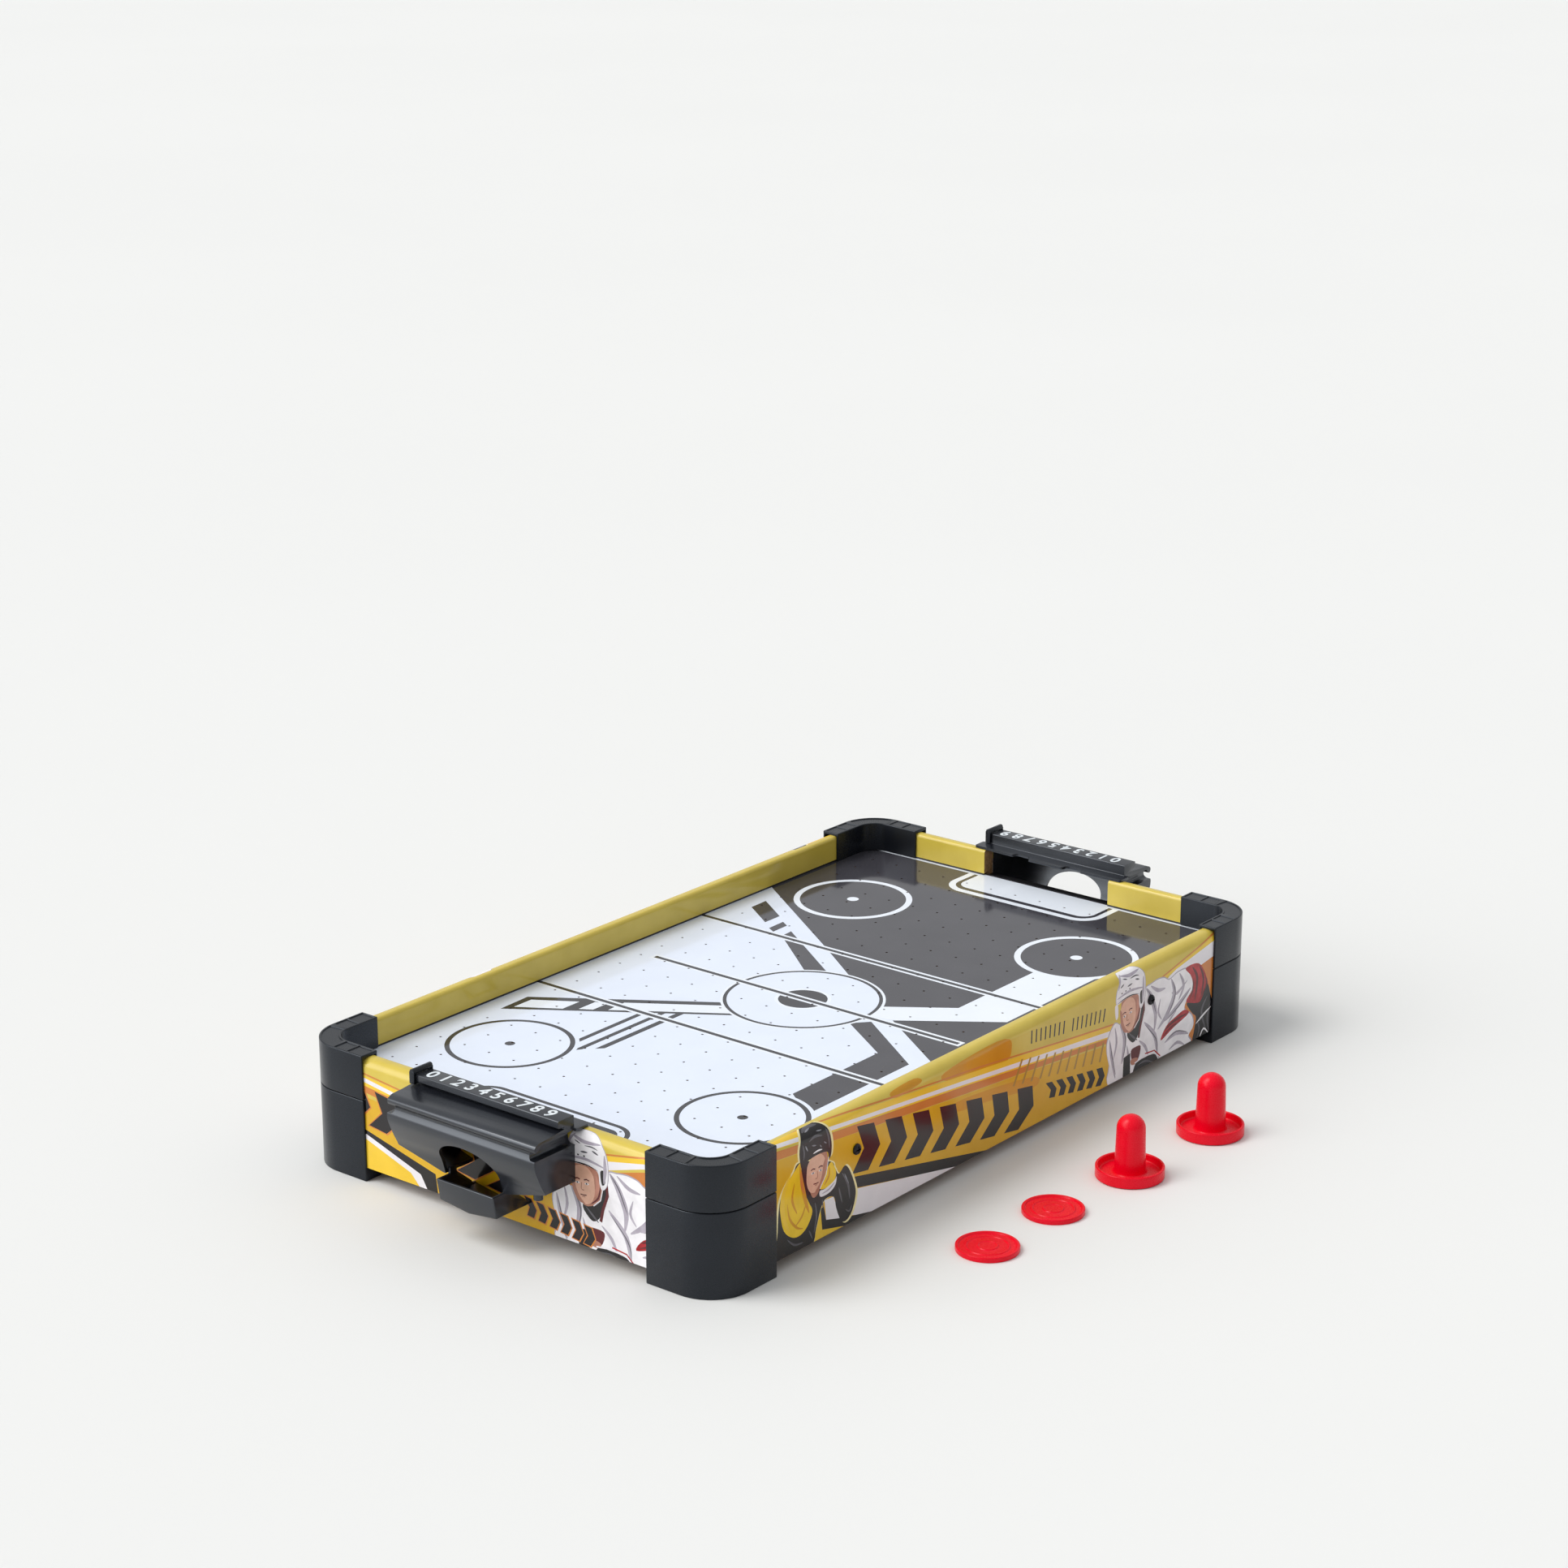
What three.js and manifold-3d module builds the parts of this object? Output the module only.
// Tabletop air hockey table, with its two strikers and two pucks laid beside it.
// Millimetres. +X runs along the table from the near goal to the far goal, +Y across it, +Z up.
// The origin is on the floor, at the middle of the whole set's footprint.
import * as THREE from 'three';
import { mergeVertices } from 'three/addons/utils/BufferGeometryUtils.js';
import Module from 'manifold-3d';

const wasm = await Module();
wasm.setup();

// ---- Driving dimensions -------------------------------------------------------------------------
const LENGTH = 514;
const WIDTH = 300;
const HEIGHT = 74;
const TABLE_Y = 46; // the table's middle line, which stands aside to make room for the loose pieces
const GAP = 0.3; // clearance between parts that touch

// Boards of the frame, with a groove for the playing surface and one for the base panel.
const BOARD_T = 9.2;
const BOARD_INSET = 1.5; // the corner pieces stand this much proud of the boards
const BOARD_BOTTOM = 8;
const BOARD_TOP = 72;
const BOARD_OUTER_R = 5.5;
const BOARD_INNER_R = 2;
const BOARD_SHORT = 2; // the boards stop this far short of the corner arcs
const GROOVE_DEPTH = 3.5;
const PANEL_IN_GROOVE = 3;
const GROOVE_SLACK = 0.4;
const FIELD_TOP = 55.3;
const FIELD_T = 3;
const FIELD_GROOVE_TOP = 56.6;
const BASE_TOP = 16;
const BASE_T = 2.8;
const PANEL_CORNER_R = 24;

// Corner pieces: an upper cap over a lower foot.
const CORNER_R = 25;
const CORNER_LEG = 48;
const CORNER_BAND = 12.2;
const CORNER_WALL = 1.2;
const SEAM_Z = 48;
const SEAM_GAP = 0.4;
const FOOT_FLOOR = 2;
const FOOT_END_WALL = 1.8;
const POST_R = 3.8;
const POST_BASE_R = 4.8;
const DISH_DEPTH = 0.5;
const DISH_RIM = 1.2;

// Goals.
const SLOT_HALF = 47.5;
const SLOT_FLOOR = 54.6;
const GOAL_HALF = 53;
const NECK_HALF = 48.5;
const GOAL_WALL = 2;
const BAR_TOP = 80.5;
const BAR_WIDTH = 12;
const BAR_OFFSET = 0.5; // from the board's outer face to the bar's inner face
const FLANGE_TOP = 73.8;
const COVER_LIP = 68.6;
const NOTCH_FLOOR = 64;
const FLOOR_HIGH = 43; // underside of the chute's floor at its ends
const FLOOR_LOW = 34.3; // and beside the tray
const WINDOW_HALF = 21;
const WINDOW_SPRING = 45;
const WINDOW_TOP = 57.3;
const TRAY_HALF = 20.5;
const TRAY_WALL = 1.5;
const TRAY_RIM = 34.1;
const GOAL_SCREW_Y = 47.8;
const GOAL_SCREW_Z = 46.5;
const SLIDER_W = 3.5;

// Fasteners and cross beams.
const SCREW_R = 1.5;
const HOLE_R = SCREW_R + GAP;
const HEAD_R = 3.1;
const HEAD_T = 1.8;
const BEAM_X = 141;
const BEAM_W = 10;
const BEAM_H = 8.3;
const SIDE_SCREW_Z = 48.5;
const SIDE_SCREW_LENGTH = 24;

// Fan, battery box and switch.
const DUCT_R = 36;
const HUB_RING_R = 12.5;
const IMPELLER_HUB_R = 9;
const IMPELLER_R = 34.5;
const BLADES = 6;
const BLADE_PITCH = 35;
const SHAFT_R = 1;
const BATTERY_X = 95;
const BATTERY_HALF_X = 29.8;
const BATTERY_HALF_Y = 30.8;
const CELL_R = 7.1;
const CELL_LENGTH = 49.5;
const CELL_PITCH = 15;
const CELL_Z = 23.8;
const SWITCH_Z = 30;
const ROCKER_TILT = 8;

// Loose pieces, with their places from the table's middle.
const STRIKER_R = 19.3;
const STRIKER_RIM_H = 6.8;
const STRIKER_H = 36.6;
const HANDLE_R = 8.65;
const PUCK_R = 17.25;
const PUCK_T = 3;
const STRIKERS = [[13, -220.5], [92, -222.7]];
const PUCKS = [[-113.5, -215], [-53, -215]];

// Places worked out from the dimensions above.
const X_FACE = LENGTH / 2 - BOARD_INSET;
const Y_FACE = WIDTH / 2 - BOARD_INSET;
const X_ARC = LENGTH / 2 - CORNER_R;
const Y_ARC = WIDTH / 2 - CORNER_R;
const X_INNER = X_FACE - BOARD_T;
const Y_INNER = Y_FACE - BOARD_T;
const FIELD_BOTTOM = FIELD_TOP - FIELD_T;
const BASE_BOTTOM = BASE_TOP - BASE_T;
const LEG_STRAIGHT = CORNER_LEG - CORNER_R;
const INNER_R = CORNER_R - CORNER_BAND;
const HALF_TURN = Math.PI;
const QUARTER_TURN = Math.PI / 2;

// ---- Materials ----------------------------------------------------------------------------------
const look = (color, roughness, metalness = 0) =>
  new THREE.MeshStandardMaterial({ color, roughness, metalness });
const BLACK_PLASTIC = look(0x26282d, 0.5);
const PRINTED_FILM = look(0xd7b43c, 0.25);
const PRINTED_FIELD = look(0xe6ecfa, 0.2);
const RED_PLASTIC = look(0xd9142d, 0.35);
const FELT = look(0x2b2b2e, 0.95);
const HARDBOARD = look(0x7a5b3c, 0.8);
const SOFTWOOD = look(0xc9a777, 0.75);
const STEEL = look(0x8b8f94, 0.35, 0.9);
const BLACK_STEEL = look(0x1d1e20, 0.4, 0.7);
const GREY_PLASTIC = look(0x5a5d63, 0.55);
const CELL_JACKET = look(0x3f6f52, 0.35);
const RED_LEAD = look(0xb3201c, 0.5);
const BLACK_LEAD = look(0x18181a, 0.5);

// ---- Solids and booleans ------------------------------------------------------------------------
function solid(geometry) {
  const bare = geometry.clone();
  bare.deleteAttribute('normal');
  bare.deleteAttribute('uv');
  const merged = mergeVertices(bare, 1e-4);
  const vertProperties = new Float32Array(merged.attributes.position.array);
  const triVerts = new Uint32Array(merged.index.array);
  return new wasm.Manifold(new wasm.Mesh({ numProp: 3, vertProperties, triVerts }));
}

function toGeometry(manifold) {
  const mesh = manifold.getMesh();
  const geometry = new THREE.BufferGeometry();
  geometry.setAttribute('position', new THREE.BufferAttribute(mesh.vertProperties, 3));
  geometry.setIndex(new THREE.BufferAttribute(mesh.triVerts, 1));
  return geometry;
}

const join = (...solids) => solids.reduce((a, b) => a.add(b));
const cut = (body, ...tools) => tools.reduce((a, b) => a.subtract(b), body);

// A copy turned about Z and then moved.
function placed(manifold, turn, x = 0, y = 0, z = 0) {
  const matrix = new THREE.Matrix4().makeRotationZ(turn);
  matrix.setPosition(x, y, z);
  const geometry = toGeometry(manifold);
  geometry.applyMatrix4(matrix);
  return solid(geometry);
}

function block([x0, x1], [y0, y1], [z0, z1]) {
  const geometry = new THREE.BoxGeometry(x1 - x0, y1 - y0, z1 - z0);
  geometry.translate((x0 + x1) / 2, (y0 + y1) / 2, (z0 + z1) / 2);
  return solid(geometry);
}

// The local X, Y and Z of a drawn section, as directions of the table.
const SECTION_AXES = {
  x: [[0, 1, 0], [0, 0, 1], [1, 0, 0]],
  y: [[1, 0, 0], [0, 0, 1], [0, -1, 0]],
  z: [[1, 0, 0], [0, 1, 0], [0, 0, 1]],
};

// A section drawn straight along an axis. Its two coordinates are the other two axes, in order.
function drawn(axis, shape, [from, to], curveSegments = 6) {
  const geometry = new THREE.ExtrudeGeometry(shape, {
    depth: to - from,
    bevelEnabled: false,
    curveSegments,
  });
  const basis = SECTION_AXES[axis].map((v) => new THREE.Vector3(...v));
  geometry.applyMatrix4(new THREE.Matrix4().makeBasis(...basis));
  const start = new THREE.Vector3();
  start[axis] = axis === 'y' ? to : from;
  geometry.translate(start.x, start.y, start.z);
  return solid(geometry);
}

function polygon(points) {
  return new THREE.Shape(points.map(([u, v]) => new THREE.Vector2(u, v)));
}

function disc(radius, u = 0, v = 0) {
  const shape = new THREE.Shape();
  shape.absarc(u, v, radius, 0, 2 * Math.PI);
  return shape;
}

// A round bar along an axis, through (u, v) on the other two axes.
function bar(axis, u, v, radius, span, sides = 12) {
  return drawn(axis, disc(radius, u, v), span, sides);
}

function ring(outerR, innerR, span, sides) {
  const shape = disc(outerR);
  shape.holes.push(new THREE.Path().absarc(0, 0, innerR, 0, 2 * Math.PI));
  return drawn('z', shape, span, sides);
}

// A solid turned about Z. The profile's points are [radius, height], upwards on the outside.
function turned(profile, sides) {
  const points = profile.map(([r, z]) => new THREE.Vector2(r, z));
  const geometry = new THREE.LatheGeometry(points, sides);
  geometry.rotateX(QUARTER_TURN);
  return solid(geometry);
}

function roundedRectangle(halfX, halfY, radius) {
  const shape = new THREE.Shape();
  const arcs = [[1, 1, 0], [-1, 1, 1], [-1, -1, 2], [1, -1, 3]];
  shape.moveTo(halfX, radius - halfY);
  for (const [sx, sy, quarter] of arcs) {
    const start = quarter * QUARTER_TURN;
    shape.absarc(sx * (halfX - radius), sy * (halfY - radius), radius, start, start + QUARTER_TURN);
  }
  return shape;
}

// ---- The scene graph ----------------------------------------------------------------------------
const group = new THREE.Group();
const table = new THREE.Group();
table.position.y = TABLE_Y;
group.add(table);

function piece(name, manifold, material) {
  const mesh = new THREE.Mesh(toGeometry(manifold), material);
  mesh.name = name;
  table.add(mesh);
  return mesh;
}

// A pan-head screw with its head's seat at z = 0, its thread up +Z and a cross recess below.
function screw(length) {
  const head = [[0, -HEAD_T], [1.6, -HEAD_T], [2.6, -HEAD_T + 0.5], [HEAD_R, -0.5], [HEAD_R, 0]];
  const thread = [[SCREW_R, 0], [SCREW_R, length - 2.5], [0, length]];
  const recess = [
    block([-1.7, 1.7], [-0.35, 0.35], [-HEAD_T - 1, -HEAD_T + 0.9]),
    block([-0.35, 0.35], [-1.7, 1.7], [-HEAD_T - 1, -HEAD_T + 0.9]),
  ];
  return cut(turned([...head, ...thread], 8), ...recess);
}

// A screw whose thread points along a table direction, with its head's seat at the given place.
function pointedScrew(name, length, [dx, dy, dz], [x, y, z]) {
  const mesh = piece(name, screw(length), BLACK_STEEL);
  mesh.quaternion.setFromUnitVectors(new THREE.Vector3(0, 0, 1), new THREE.Vector3(dx, dy, dz));
  mesh.position.set(x, y, z);
}

// ---- Corner pieces, drawn about the centre of the corner's arcs ----------------------------------
// The band bends round the corner from a leg along -X to a leg along -Y.
function cornerBand(outerR, innerR, leg) {
  const shape = new THREE.Shape();
  shape.moveTo(-leg, outerR);
  shape.lineTo(-leg, innerR);
  shape.lineTo(0, innerR);
  shape.absarc(0, 0, innerR, QUARTER_TURN, 0, true);
  shape.lineTo(innerR, -leg);
  shape.lineTo(outerR, -leg);
  shape.lineTo(outerR, 0);
  shape.absarc(0, 0, outerR, 0, QUARTER_TURN, false);
  return shape;
}

const THROUGH = LEG_STRAIGHT + 5; // a band this long runs out of the leg's end
const CHANNEL = cornerBand(CORNER_R - CORNER_WALL, INNER_R + CORNER_WALL, THROUGH);
const POST_AT = (CORNER_R - CORNER_BAND / 2) * Math.SQRT1_2;
const CAP_BOTTOM = SEAM_Z + SEAM_GAP / 2;
const FOOT_TOP = SEAM_Z - SEAM_GAP / 2;
const CAP_INNER_BOTTOM = FIELD_TOP + 0.5;
const SCREW_SEAT = 3;
const CORNER_SCREW_LENGTH = 60;

// Shallow dishes in the cap's top: two along each leg and one round the corner.
function capDishes() {
  const span = [HEIGHT - DISH_DEPTH, HEIGHT + 1];
  const inner = INNER_R + DISH_RIM;
  const outer = CORNER_R - DISH_RIM;
  const dishes = [];
  for (const [a, b] of [[-21.8, -10.6], [-9.8, -0.4]]) {
    dishes.push(drawn('z', polygon([[a, inner], [b, inner], [b, outer], [a, outer]]), span));
    dishes.push(drawn('z', polygon([[inner, a], [outer, a], [outer, b], [inner, b]]), span));
  }
  const start = 0.04 * Math.PI;
  const end = 0.46 * Math.PI;
  const corner = new THREE.Shape();
  corner.absarc(0, 0, outer, start, end, false);
  corner.absarc(0, 0, inner, end, start, true);
  dishes.push(drawn('z', corner, span));
  return dishes;
}

function cornerCap() {
  const shell = drawn('z', cornerBand(CORNER_R, INNER_R, LEG_STRAIGHT), [CAP_BOTTOM, HEIGHT]);
  const channel = drawn('z', CHANNEL, [CAP_BOTTOM - 1, BOARD_TOP + GAP]);
  const innerWall = cornerBand(INNER_R + 2, INNER_R - 2, THROUGH);
  const overField = drawn('z', innerWall, [CAP_BOTTOM - 1, CAP_INNER_BOTTOM]);
  const boss = bar('z', POST_AT, POST_AT, POST_R, [CAP_BOTTOM, BOARD_TOP + 1], 8);
  const pilot = bar('z', POST_AT, POST_AT, HOLE_R, [CAP_BOTTOM - 1, CORNER_SCREW_LENGTH + 6], 8);
  return cut(join(cut(shell, channel, overField), boss), pilot, ...capDishes());
}

function cornerFoot() {
  const shell = drawn('z', cornerBand(CORNER_R, INNER_R, LEG_STRAIGHT), [0, FOOT_TOP]);
  const channel = drawn('z', CHANNEL, [BOARD_BOTTOM - GAP, FOOT_TOP + 1]);
  const pocketBand = cornerBand(CORNER_R - 2.6, INNER_R + 2.6, LEG_STRAIGHT - FOOT_END_WALL);
  const pocket = drawn('z', pocketBand, [FOOT_FLOOR, BOARD_BOTTOM]);
  const post = bar('z', POST_AT, POST_AT, POST_R, [FOOT_FLOOR - 1, FOOT_TOP], 8);
  const postBase = bar('z', POST_AT, POST_AT, POST_BASE_R, [FOOT_FLOOR - 1, SCREW_SEAT + 2], 8);
  const hole = bar('z', POST_AT, POST_AT, HOLE_R, [-1, FOOT_TOP + 1], 8);
  const counterbore = bar('z', POST_AT, POST_AT, HEAD_R + GAP, [-1, SCREW_SEAT], 8);
  return cut(join(cut(shell, channel, pocket), post, postBase), hole, counterbore);
}

const CORNERS = [
  ['far_left', 1, 1, 0],
  ['near_left', -1, 1, QUARTER_TURN],
  ['near_right', -1, -1, HALF_TURN],
  ['far_right', 1, -1, -QUARTER_TURN],
];
for (const [where, sx, sy, turn] of CORNERS) {
  const screwAt = [sx * (X_ARC + POST_AT), sy * (Y_ARC + POST_AT), SCREW_SEAT - GAP];
  piece(`corner_cap_${where}`, placed(cornerCap(), turn, sx * X_ARC, sy * Y_ARC), BLACK_PLASTIC);
  piece(`corner_foot_${where}`, placed(cornerFoot(), turn, sx * X_ARC, sy * Y_ARC), BLACK_PLASTIC);
  pointedScrew(`corner_screw_${where}`, CORNER_SCREW_LENGTH, [0, 0, 1], screwAt);
}

// ---- Frame boards --------------------------------------------------------------------------------
// The section of a board whose outer face is at u = face: rounded top edges and two inner grooves.
function boardSection(face) {
  const inner = face - BOARD_T;
  const groove = inner + GROOVE_DEPTH;
  const shape = new THREE.Shape();
  shape.moveTo(face, BOARD_BOTTOM);
  shape.lineTo(face, BOARD_TOP - BOARD_OUTER_R);
  const outerR = BOARD_OUTER_R;
  const innerR = BOARD_INNER_R;
  shape.absarc(face - outerR, BOARD_TOP - outerR, outerR, 0, QUARTER_TURN);
  shape.absarc(inner + innerR, BOARD_TOP - innerR, innerR, QUARTER_TURN, HALF_TURN);
  const grooves = [
    [FIELD_GROOVE_TOP, FIELD_BOTTOM - GROOVE_SLACK],
    [BASE_TOP + GROOVE_SLACK, BASE_BOTTOM - GROOVE_SLACK],
  ];
  for (const [top, bottom] of grooves) {
    shape.lineTo(inner, top);
    shape.lineTo(groove, top);
    shape.lineTo(groove, bottom);
    shape.lineTo(inner, bottom);
  }
  shape.lineTo(inner, BOARD_BOTTOM);
  return shape;
}

function sideBoard() {
  const end = X_ARC - BOARD_SHORT;
  const board = drawn('x', boardSection(Y_FACE), [-end, end]);
  const span = [Y_INNER - 5, Y_FACE + 5];
  const holes = [-BEAM_X, BEAM_X].map((x) => bar('y', x, SIDE_SCREW_Z, HOLE_R, span, 8));
  return cut(board, ...holes);
}

function endBoard() {
  const end = Y_ARC - BOARD_SHORT;
  const board = drawn('y', boardSection(X_FACE), [-end, end]);
  const span = [X_INNER - 5, X_FACE + 5];
  const slot = block(span, [-SLOT_HALF, SLOT_HALF], [SLOT_FLOOR, HEIGHT + 5]);
  const holes = [-GOAL_SCREW_Y, GOAL_SCREW_Y].map((y) => bar('x', y, GOAL_SCREW_Z, HOLE_R, span, 8));
  return cut(board, slot, ...holes);
}

const switchHole = block([-10, 10], [Y_INNER - 5, Y_FACE + 5], [SWITCH_Z - 6.7, SWITCH_Z + 6.7]);
piece('side_board_left', cut(sideBoard(), switchHole), PRINTED_FILM);
piece('side_board_right', placed(sideBoard(), HALF_TURN), PRINTED_FILM);
piece('end_board_far', endBoard(), PRINTED_FILM);
piece('end_board_near', placed(endBoard(), HALF_TURN), PRINTED_FILM);

// ---- Playing surface, base panel and cross beams -------------------------------------------------
const PANEL_X = X_INNER + PANEL_IN_GROOVE;
const PANEL_Y = Y_INNER + PANEL_IN_GROOVE;
const panelOutline = roundedRectangle(PANEL_X, PANEL_Y, PANEL_CORNER_R);
piece('playing_surface', drawn('z', panelOutline, [FIELD_BOTTOM, FIELD_TOP]), PRINTED_FIELD);

function basePanel() {
  const panel = drawn('z', panelOutline, [BASE_BOTTOM, BASE_TOP]);
  const span = [BASE_BOTTOM - 1, BASE_TOP + 1];
  const footRoom = drawn('z', cornerBand(CORNER_R + 5, INNER_R - GAP, LEG_STRAIGHT + GAP), span);
  const notches = CORNERS.map(([, sx, sy, turn]) => placed(footRoom, turn, sx * X_ARC, sy * Y_ARC));
  const intake = bar('z', 0, 0, DUCT_R, span, 20);
  const batteryX = [BATTERY_X - BATTERY_HALF_X, BATTERY_X + BATTERY_HALF_X];
  const batteryOpening = block(batteryX, [-BATTERY_HALF_Y, BATTERY_HALF_Y], span);
  return cut(panel, ...notches, intake, batteryOpening);
}
piece('base_panel', basePanel(), HARDBOARD);

const BEAM_TOP = FIELD_BOTTOM - GAP;
for (const [where, x] of [['near', -BEAM_X], ['far', BEAM_X]]) {
  const width = [x - BEAM_W / 2, x + BEAM_W / 2];
  const beam = block(width, [GAP - Y_INNER, Y_INNER - GAP], [BEAM_TOP - BEAM_H, BEAM_TOP]);
  const depth = SIDE_SCREW_LENGTH;
  const holes = [[-Y_INNER, depth - Y_INNER], [Y_INNER - depth, Y_INNER]].map((span) =>
    bar('y', x, SIDE_SCREW_Z, HOLE_R, span, 8));
  piece(`cross_beam_${where}`, cut(beam, ...holes), SOFTWOOD);
  for (const [side, sign] of [['left', 1], ['right', -1]]) {
    const seat = [x, sign * (Y_FACE + GAP), SIDE_SCREW_Z];
    pointedScrew(`side_screw_${side}_${where}`, SIDE_SCREW_LENGTH, [0, -sign, 0], seat);
  }
}

// ---- Goals, drawn at the far end and turned half round for the near end ----------------------------
const BAR_IN = X_FACE + BAR_OFFSET;
const BAR_OUT = BAR_IN + BAR_WIDTH;
const FLANGE_BOTTOM = BOARD_TOP + GAP;
const CHUTE_BACK = X_FACE + GAP;

// The score bar with the cover that sweeps out to a rounded nose, and a flange on the board's top.
function goalTop() {
  const section = new THREE.Shape();
  section.moveTo(BAR_IN - 1, FLANGE_BOTTOM);
  section.lineTo(X_FACE + 5, FLANGE_BOTTOM);
  section.lineTo(X_FACE + 7, 71.5);
  section.lineTo(281.5, 71);
  section.lineTo(283.4, COVER_LIP);
  section.lineTo(285, COVER_LIP);
  section.absarc(284.3, 70.9, 2.2, -0.3 * Math.PI, 0.48 * Math.PI, false);
  section.quadraticCurveTo(274, 73.5, BAR_OUT - 4.5, 74.4);
  section.lineTo(BAR_OUT - 4.5, 76.4);
  section.lineTo(BAR_OUT, 76.4);
  section.lineTo(BAR_OUT, BAR_TOP - 0.5);
  section.lineTo(BAR_OUT - 0.5, BAR_TOP);
  section.lineTo(BAR_IN + 0.5, BAR_TOP);
  section.lineTo(BAR_IN, BAR_TOP - 0.5);
  section.lineTo(BAR_IN, FLANGE_TOP);
  section.lineTo(BAR_IN - 1, FLANGE_TOP);
  const flange = new THREE.Shape();
  flange.moveTo(BAR_IN + 1, -56);
  flange.lineTo(BAR_IN + 1, 56);
  flange.lineTo(247.5, 56);
  flange.lineTo(246.5, 26);
  flange.quadraticCurveTo(250, 24, 250, 20);
  flange.quadraticCurveTo(249, 14, 245.4, 13);
  flange.lineTo(245.4, -13);
  flange.quadraticCurveTo(249, -14, 250, -20);
  flange.quadraticCurveTo(250, -24, 246.5, -26);
  flange.lineTo(247.5, -56);
  const body = drawn('y', section, [-GOAL_HALF, GOAL_HALF], 8);
  return join(body, drawn('z', flange, [FLANGE_BOTTOM, FLANGE_TOP], 4));
}

// The chute below the cover: a sloping front with an arched window, end walls, and a floor that
// falls from both ends to the tray. Each end is notched under the cover.
function goalChute() {
  const front = [
    [276.4, FLOOR_LOW], [279, 43], [282.4, 50.1], [286, 58.1], [286.8, 62.5], [286.4, 65.2],
    [285.4, 67.2], [285.2, COVER_LIP - GAP],
  ];
  const shell = drawn('y', polygon([
    [CHUTE_BACK, COVER_LIP - GAP], [CHUTE_BACK, FLOOR_LOW], ...front,
  ]), [-GOAL_HALF, GOAL_HALF]);
  const shield = (lift, half) => drawn('x', polygon([
    [-half, 80], [-half, FLOOR_HIGH + lift], [-TRAY_HALF - 2, FLOOR_LOW + lift],
    [TRAY_HALF + 2, FLOOR_LOW + lift], [half, FLOOR_HIGH + lift], [half, 80],
  ]), [240, 300]);
  const hollow = drawn('y', polygon([
    [250, 80], [250, 30], [274.2, 30], [277, 43], [280.3, 50.1], [283.9, 58.1], [284.6, 62.5],
    [284.2, 64.6], [283.2, 66.6], [283.2, 80],
  ]), [GOAL_WALL - GOAL_HALF, GOAL_HALF - GOAL_WALL]);
  const throatHalf = NECK_HALF - GOAL_WALL;
  const throat = block([250, 283.2], [-throatHalf, throatHalf], [60, 80]);
  const lower = block([250, 290], [-GOAL_HALF, GOAL_HALF], [20, NOTCH_FLOOR - GOAL_WALL]);
  const middle = block([250, 300], [-TRAY_HALF - GAP, TRAY_HALF + GAP], [30, FLOOR_LOW + 4]);
  const window = new THREE.Shape();
  window.moveTo(-WINDOW_HALF, 30);
  window.lineTo(WINDOW_HALF, 30);
  window.lineTo(WINDOW_HALF, WINDOW_SPRING);
  window.absellipse(0, WINDOW_SPRING, WINDOW_HALF, WINDOW_TOP - WINDOW_SPRING, 0, Math.PI);
  const opening = drawn('x', window, [265, 300], 14);
  const notches = [-1, 1].map((side) =>
    block([250, 300], [side * NECK_HALF, side * (GOAL_HALF + 1)].sort((a, b) => a - b),
      [NOTCH_FLOOR, 80]));
  const rooms = hollow.intersect(shield(GOAL_WALL, GOAL_HALF - GOAL_WALL)).intersect(lower);
  let chute = cut(shell.intersect(shield(0, GOAL_HALF)), rooms, throat, middle, opening, ...notches);
  for (const side of [-1, 1]) {
    const boss = bar('x', side * GOAL_SCREW_Y, GOAL_SCREW_Z, 3.5, [CHUTE_BACK, 266]);
    const hole = bar('x', side * GOAL_SCREW_Y, GOAL_SCREW_Z, HOLE_R, [250, 264.5], 8);
    chute = cut(join(chute, boss), hole);
  }
  const underBoss = bar('z', 274.5, 44, 2.4, [37, 49], 10);
  return join(chute, underBoss);
}

// The open tray under the window, with a shallow V floor. Its back is the board, its side walls are
// cut back there, and two tabs hold it between the chute's floors.
function puckTray() {
  const outer = drawn('y', polygon([
    [CHUTE_BACK, TRAY_RIM], [CHUTE_BACK, 16], [280.8, 16], [284.2, TRAY_RIM],
  ]), [-TRAY_HALF, TRAY_HALF]);
  const inner = drawn('y', polygon([
    [250, 50], [250, 16], [279.3, 16], [282.7, TRAY_RIM], [282.7, 50],
  ]), [TRAY_WALL - TRAY_HALF, TRAY_HALF - TRAY_WALL]);
  const vee = (half, side, middle) => drawn('x', polygon([
    [-half, 60], [-half, side], [0, middle], [half, side], [half, 60],
  ]), [250, 300]);
  const hollow = inner.intersect(vee(TRAY_HALF - TRAY_WALL, 22.8, 20));
  const corners = drawn('y', polygon([
    [250, 40], [269.7, 40], [269.7, TRAY_RIM - 0.2], [259, 24.8], [258.2, 23.2], [250, 23.2],
  ]), [-TRAY_HALF - 1, TRAY_HALF + 1]);
  const tabs = [-TRAY_HALF, TRAY_HALF - TRAY_WALL].map((y) =>
    block([270, 275], [y, y + TRAY_WALL], [30, FLOOR_LOW + 3.4]));
  return join(cut(outer.intersect(vee(TRAY_HALF, 21.3, 18.5)), hollow, corners), ...tabs);
}

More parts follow.
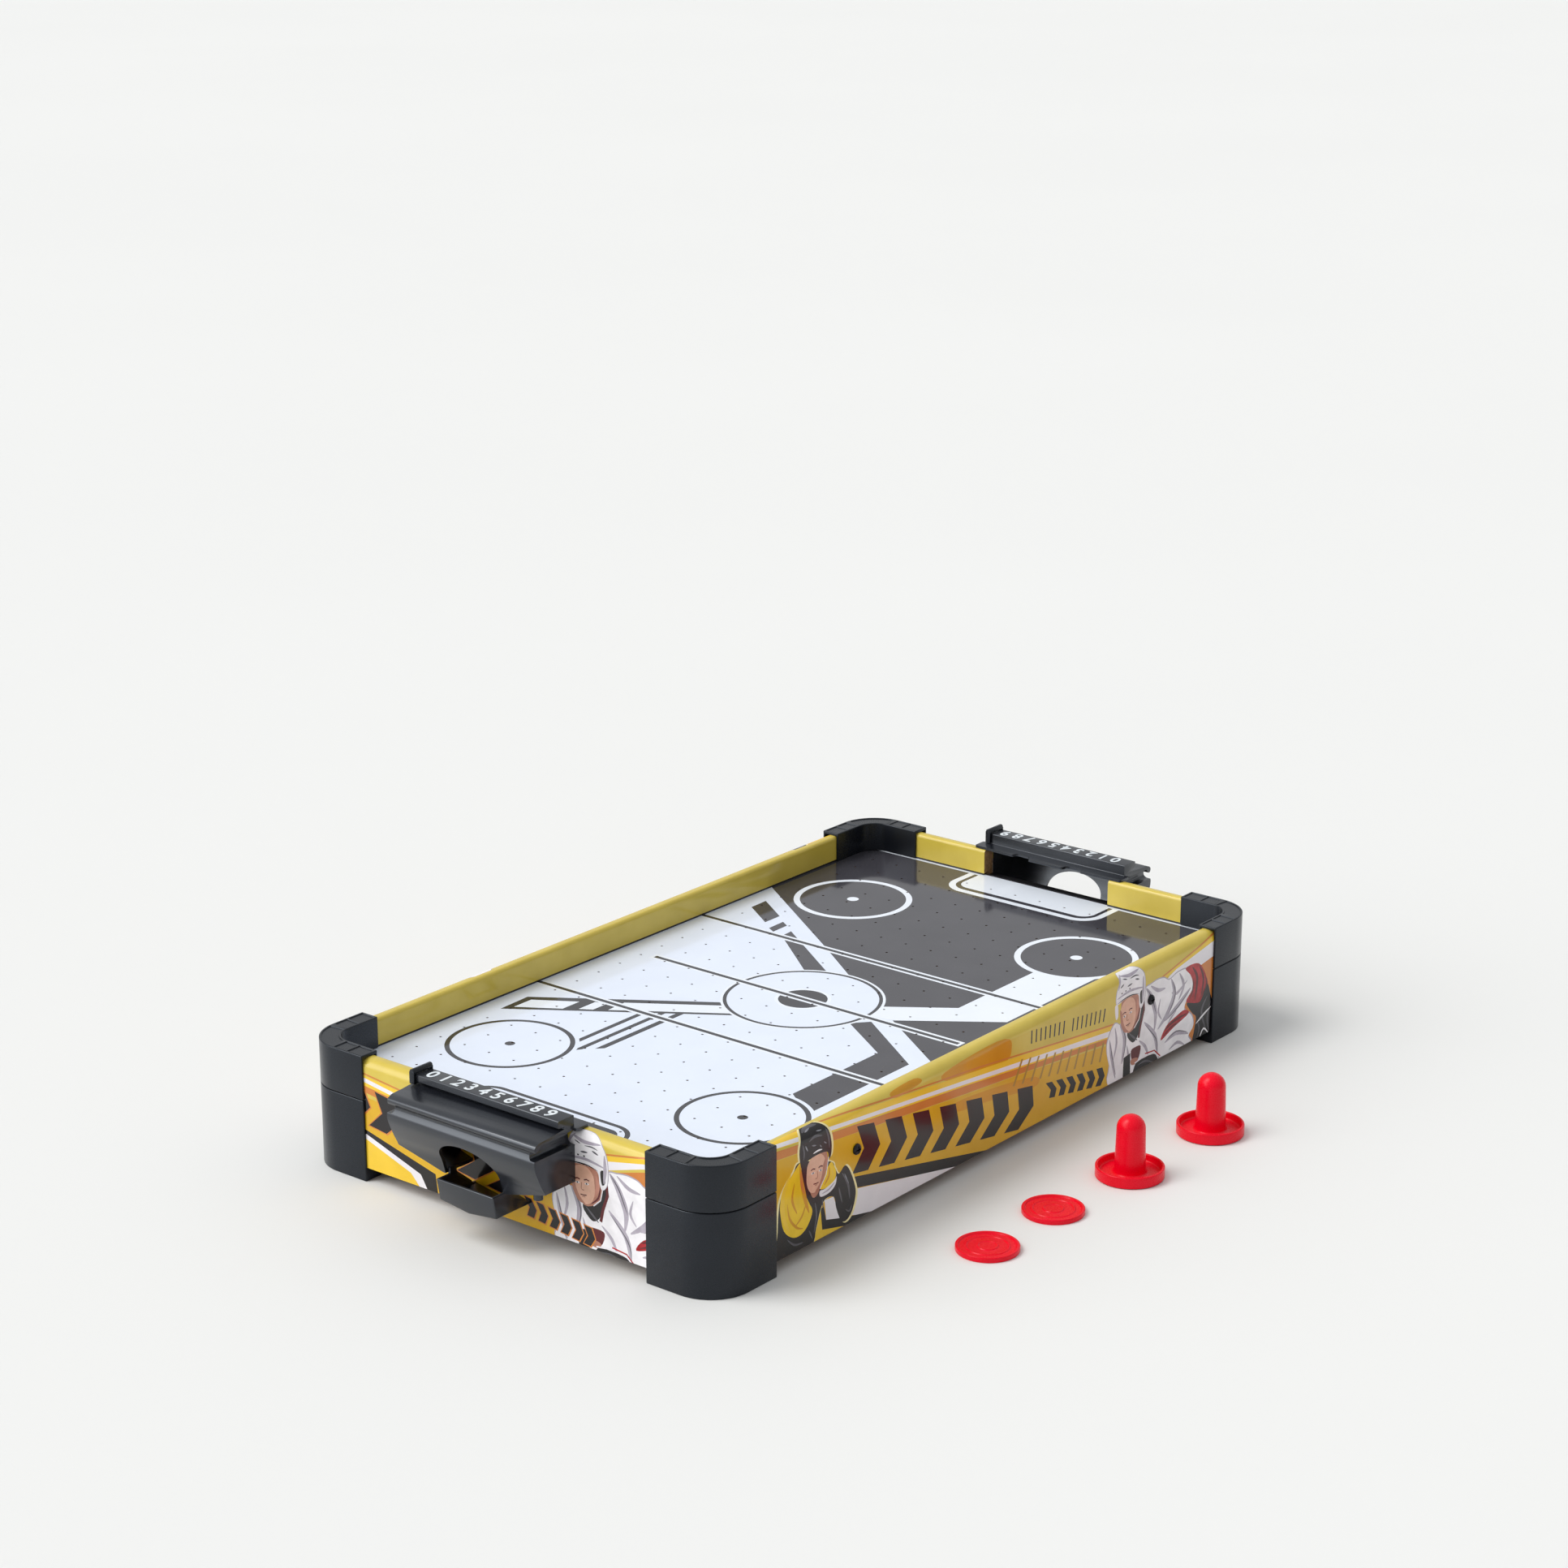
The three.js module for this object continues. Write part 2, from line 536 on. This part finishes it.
// A clip that wraps the score bar, with a thumb ridge on top.
function scoreSlider(y) {
  const inside = [BAR_IN - GAP, BAR_OUT + GAP];
  const top = BAR_TOP + GAP;
  const section = polygon([
    [inside[0] - 1, FLANGE_TOP + GAP], [inside[0], FLANGE_TOP + GAP], [inside[0], top],
    [inside[1], top], [inside[1], 76.1], [BAR_OUT - 3, 76.1], [BAR_OUT - 3, 75.1],
    [inside[1] + 1, 75.1], [inside[1] + 1, top + 1], [inside[0] - 1, top + 1],
  ]);
  const clip = drawn('y', section, [y - SLIDER_W / 2, y + SLIDER_W / 2]);
  const ridge = drawn('x', polygon([
    [y - 1.6, top + 0.5], [y + 1.6, top + 0.5], [y + 1.4, top + 1.9], [y + 0.6, top + 2.5],
    [y - 0.6, top + 2.5], [y - 1.4, top + 1.9],
  ]), [inside[0] - 0.9, inside[1] + 0.9]);
  return join(clip, ridge);
}

const SLIDER_Y = GOAL_HALF - SLIDER_W / 2;
for (const [where, sign, turn] of [['far', 1, 0], ['near', -1, HALF_TURN]]) {
  piece(`goal_top_${where}`, placed(goalTop(), turn), BLACK_PLASTIC);
  piece(`goal_chute_${where}`, placed(goalChute(), turn), BLACK_PLASTIC);
  piece(`puck_tray_${where}`, placed(puckTray(), turn), BLACK_PLASTIC);
  piece(`score_slider_${where}`, placed(scoreSlider(sign * SLIDER_Y), turn), BLACK_PLASTIC);
  for (const [side, y] of [['left', GOAL_SCREW_Y], ['right', -GOAL_SCREW_Y]]) {
    const seat = [sign * (X_INNER - GAP), y, GOAL_SCREW_Z];
    pointedScrew(`goal_screw_${where}_${side}`, 17, [sign, 0, 0], seat);
  }
}

// ---- Fan -----------------------------------------------------------------------------------------
function fanHousing() {
  const bottom = BASE_TOP + GAP;
  const duct = ring(DUCT_R + 1.8, DUCT_R, [bottom, 38], 20);
  const collar = ring(DUCT_R + 8, DUCT_R, [bottom, bottom + 2], 20);
  const hub = ring(HUB_RING_R + 2, HUB_RING_R, [30, 38], 14);
  const arm = block([HUB_RING_R + 1, DUCT_R + 1], [-2, 2], [35, 38]);
  const arms = [0, 1, 2].map((k) => placed(arm, k * 2 * Math.PI / 3));
  return join(duct, collar, hub, ...arms);
}

function fanImpeller() {
  const bore = bar('z', 0, 0, SHAFT_R + GAP, [20, 30], 8);
  const hub = cut(bar('z', 0, 0, IMPELLER_HUB_R, [19, 27.5], 16), bore);
  const blade = new THREE.BoxGeometry(IMPELLER_R - IMPELLER_HUB_R + 1, 12, 1.4);
  blade.rotateX(THREE.MathUtils.degToRad(BLADE_PITCH));
  blade.translate((IMPELLER_R + IMPELLER_HUB_R - 1) / 2, 0, 23.3);
  const blades = [];
  for (let k = 0; k < BLADES; k += 1) {
    blades.push(placed(solid(blade), k * 2 * Math.PI / BLADES));
  }
  return join(hub, ...blades);
}

function fanGrille() {
  const span = [BASE_BOTTOM - GAP - 1.8, BASE_BOTTOM - GAP];
  const radii = [[41, 37], [27, 24.5], [13, 10.5]];
  const rings = radii.map(([outer, inner]) => ring(outer, inner, span, 10));
  const spoke = block([-38, 38], [-1.3, 1.3], span);
  const spokes = [0, 1, 2, 3].map((k) => placed(spoke, k * Math.PI / 4));
  return join(...rings, ...spokes);
}

function motor() {
  const outside = HUB_RING_R - GAP;
  const can = turned([
    [0, 28], [4, 28], [4, 28.8], [outside, 28.8], [outside, 43], [11, 44], [0, 44],
  ], 16);
  return cut(can, bar('z', 0, 0, SHAFT_R + GAP, [27, 32], 8));
}

piece('fan_housing', fanHousing(), GREY_PLASTIC);
piece('fan_grille', fanGrille(), BLACK_PLASTIC);
piece('fan_impeller', fanImpeller(), GREY_PLASTIC);
piece('motor_shaft', bar('z', 0, 0, SHAFT_R, [20.3, 31.6], 8), STEEL);
piece('fan_motor', motor(), STEEL);

// ---- Battery box ---------------------------------------------------------------------------------
const BOX_WALL = 1.7;
const spanX = (half) => [BATTERY_X - half, BATTERY_X + half];
const spanY = (half) => [-half, half];

function batteryBox() {
  const bottom = BASE_TOP + GAP;
  const wider = (margin, span) =>
    block(spanX(BATTERY_HALF_X + margin), spanY(BATTERY_HALF_Y + margin), span);
  const shell = wider(BOX_WALL, [bottom, 33.5]);
  const flange = wider(6, [bottom, bottom + 1.6]);
  return cut(join(shell, flange), wider(0, [bottom - 1, 31.9]));
}

function batteryDoor() {
  const bottom = BASE_BOTTOM + 0.2;
  const span = [bottom, bottom + 2];
  const plate = block(spanX(BATTERY_HALF_X - GAP), spanY(BATTERY_HALF_Y - GAP), span);
  const grips = [16, 20, 24].map((dx) =>
    block([BATTERY_X + dx - 0.8, BATTERY_X + dx + 0.8], [-9, 9], [bottom - 0.2, bottom + 0.6]));
  return cut(plate, ...grips);
}

const COIL_TURNS = 2;
const COIL_STEPS = 16;

// A contact strip across the ends of the cells: a coil for each flat end, a dimple for each button.
function contactStrip(end, coilRows, dimpleRows) {
  const faceX = BATTERY_X + end * 28.9;
  const strip = block([faceX, faceX + end * 0.6].sort((a, b) => a - b), [-28, 28], [18.5, 29.5]);
  const parts = [strip];
  for (const y of coilRows) {
    const points = [];
    for (let k = 0; k <= COIL_STEPS; k += 1) {
      const share = k / COIL_STEPS;
      const angle = share * COIL_TURNS * 2 * Math.PI;
      const radius = 4 - 1.2 * share;
      const x = faceX + end * (0.2 - 3.1 * share);
      const across = radius * Math.cos(angle);
      points.push(new THREE.Vector3(x, y + across, CELL_Z + radius * Math.sin(angle)));
    }
    const wire = new THREE.Shape().absarc(0, 0, 0.35, 0, 2 * Math.PI);
    const coil = new THREE.ExtrudeGeometry(wire, {
      steps: COIL_STEPS,
      curveSegments: 4,
      bevelEnabled: false,
      extrudePath: new THREE.CatmullRomCurve3(points),
    });
    parts.push(solid(coil));
  }
  for (const y of dimpleRows) {
    const span = [faceX + end * 0.2, faceX - end * 3.4].sort((a, b) => a - b);
    parts.push(bar('x', y, CELL_Z, 2.2, span, 10));
  }
  return join(...parts);
}

function cell() {
  const half = CELL_LENGTH / 2;
  const body = [
    [0, -half], [CELL_R - 0.5, -half], [CELL_R, 0.5 - half], [CELL_R, half - 0.5], [CELL_R - 0.5, half],
  ];
  const button = [[2.7, half], [2.7, half + 1], [0, half + 1]];
  return turned([...body, ...button], 16);
}

piece('battery_box', batteryBox(), GREY_PLASTIC);
piece('battery_door', batteryDoor(), BLACK_PLASTIC);
for (let k = 0; k < 4; k += 1) {
  const forward = k % 2 === 0 ? 1 : -1;
  const mesh = piece(`battery_cell_${k + 1}`, cell(), CELL_JACKET);
  mesh.rotation.y = forward * QUARTER_TURN;
  mesh.position.set(BATTERY_X - forward * 0.5, (k - 1.5) * CELL_PITCH, CELL_Z);
}
const ROWS = [0, 1, 2, 3].map((k) => (k - 1.5) * CELL_PITCH);
piece('contact_strip_inner', contactStrip(-1, [ROWS[0], ROWS[2]], [ROWS[1], ROWS[3]]), STEEL);
piece('contact_strip_outer', contactStrip(1, [ROWS[1], ROWS[3]], [ROWS[0], ROWS[2]]), STEEL);

// ---- Switch in the left side board, and the leads --------------------------------------------------
const ROCKER_PIVOT_Y = Y_FACE - 3;

function switchBody() {
  const seat = Y_FACE + GAP;
  const bezel = block([-11.5, 11.5], [seat, seat + 1], [SWITCH_Z - 8, SWITCH_Z + 8]);
  const can = block([-9.6, 9.6], [Y_FACE - 15, seat + 0.5], [SWITCH_Z - 6.3, SWITCH_Z + 6.3]);
  const well = block([-8.1, 8.1], [Y_FACE - 6.5, Y_FACE + 5], [SWITCH_Z - 5, SWITCH_Z + 5]);
  const bearing = bar('z', 0, ROCKER_PIVOT_Y, 1.2, [SWITCH_Z - 6, SWITCH_Z + 6], 10);
  return cut(join(bezel, can), well, bearing);
}

// The rocker rests tilted to its off side.
function switchRocker() {
  const section = polygon([[-6.6, -1.5], [6.6, -1.5], [6.8, 3.4], [0, 2.4], [-6.8, 3.4]]);
  const rocker = join(drawn('z', section, [-4.6, 4.6]), bar('z', 0, 0, 0.9, [-5.7, 5.7], 10));
  return placed(rocker, THREE.MathUtils.degToRad(-ROCKER_TILT), 0, ROCKER_PIVOT_Y, SWITCH_Z);
}

piece('switch_body', switchBody(), BLACK_PLASTIC);
piece('switch_rocker', switchRocker(), RED_PLASTIC);

function lead(name, points, material) {
  const path = new THREE.CatmullRomCurve3(points.map((p) => new THREE.Vector3(...p)));
  const wire = new THREE.Shape().absarc(0, 0, 0.8, 0, 2 * Math.PI);
  const tube = new THREE.ExtrudeGeometry(wire, {
    steps: 16,
    curveSegments: 6,
    bevelEnabled: false,
    extrudePath: path,
  });
  piece(name, solid(tube), material);
}

const SWITCH_BACK = Y_FACE - 15.8;
lead('lead_battery_to_switch', [
  [95, 33.6, 25], [94, 50, 22], [76, 88, 18.5], [30, 116, 20], [5, SWITCH_BACK, SWITCH_Z],
], RED_LEAD);
lead('lead_switch_to_motor', [
  [-5, SWITCH_BACK, SWITCH_Z], [-16, 108, 22], [-24, 68, 26], [-20, 40, 42], [-5, 4, 45.6],
], RED_LEAD);
lead('lead_battery_to_motor', [
  [62.4, -10, 25], [54, -9, 27], [44, -7, 38], [24, -5, 44], [5, -3, 45.6],
], BLACK_LEAD);

// ---- Strikers and pucks ----------------------------------------------------------------------------
function dome(radius, base, top, steps) {
  const points = [];
  for (let k = 0; k <= steps; k += 1) {
    const angle = k / steps * QUARTER_TURN;
    const r = k === steps ? 0 : radius * Math.cos(angle);
    points.push([r, base + (top - base) * Math.sin(angle)]);
  }
  return points;
}

// A cup-shaped base with a tapered, dome-topped handle, hollow from below.
function striker() {
  const cavity = dome(6.1, 27.5, 34.4, 3).reverse();
  const base = [
    [6.7, 1.3], [17.6, 1.3], [17.9, 0.4], [STRIKER_R, 0.4], [STRIKER_R, STRIKER_RIM_H],
    [STRIKER_R - 1.6, STRIKER_RIM_H], [STRIKER_R - 1.8, 2.6], [HANDLE_R, 2.6],
  ];
  return turned([...cavity, ...base, ...dome(8.05, 28.6, STRIKER_H, 4)], 24);
}

function puck() {
  const rim = PUCK_R - 1.5;
  return turned([
    [0, 0], [PUCK_R - 0.3, 0], [PUCK_R, 0.3], [PUCK_R, PUCK_T - 0.3],
    [PUCK_R - 0.3, PUCK_T], [rim, PUCK_T], [rim - 0.2, PUCK_T - 0.4], [0, PUCK_T - 0.4],
  ], 24);
}

STRIKERS.forEach(([x, y], k) => {
  piece(`striker_${k + 1}`, placed(striker(), 0, x, y), RED_PLASTIC);
  piece(`striker_felt_${k + 1}`, placed(ring(17.2, 8.5, [0, 1], 12), 0, x, y), FELT);
});
PUCKS.forEach(([x, y], k) => {
  piece(`puck_${k + 1}`, placed(puck(), 0, x, y), RED_PLASTIC);
});

export default group;
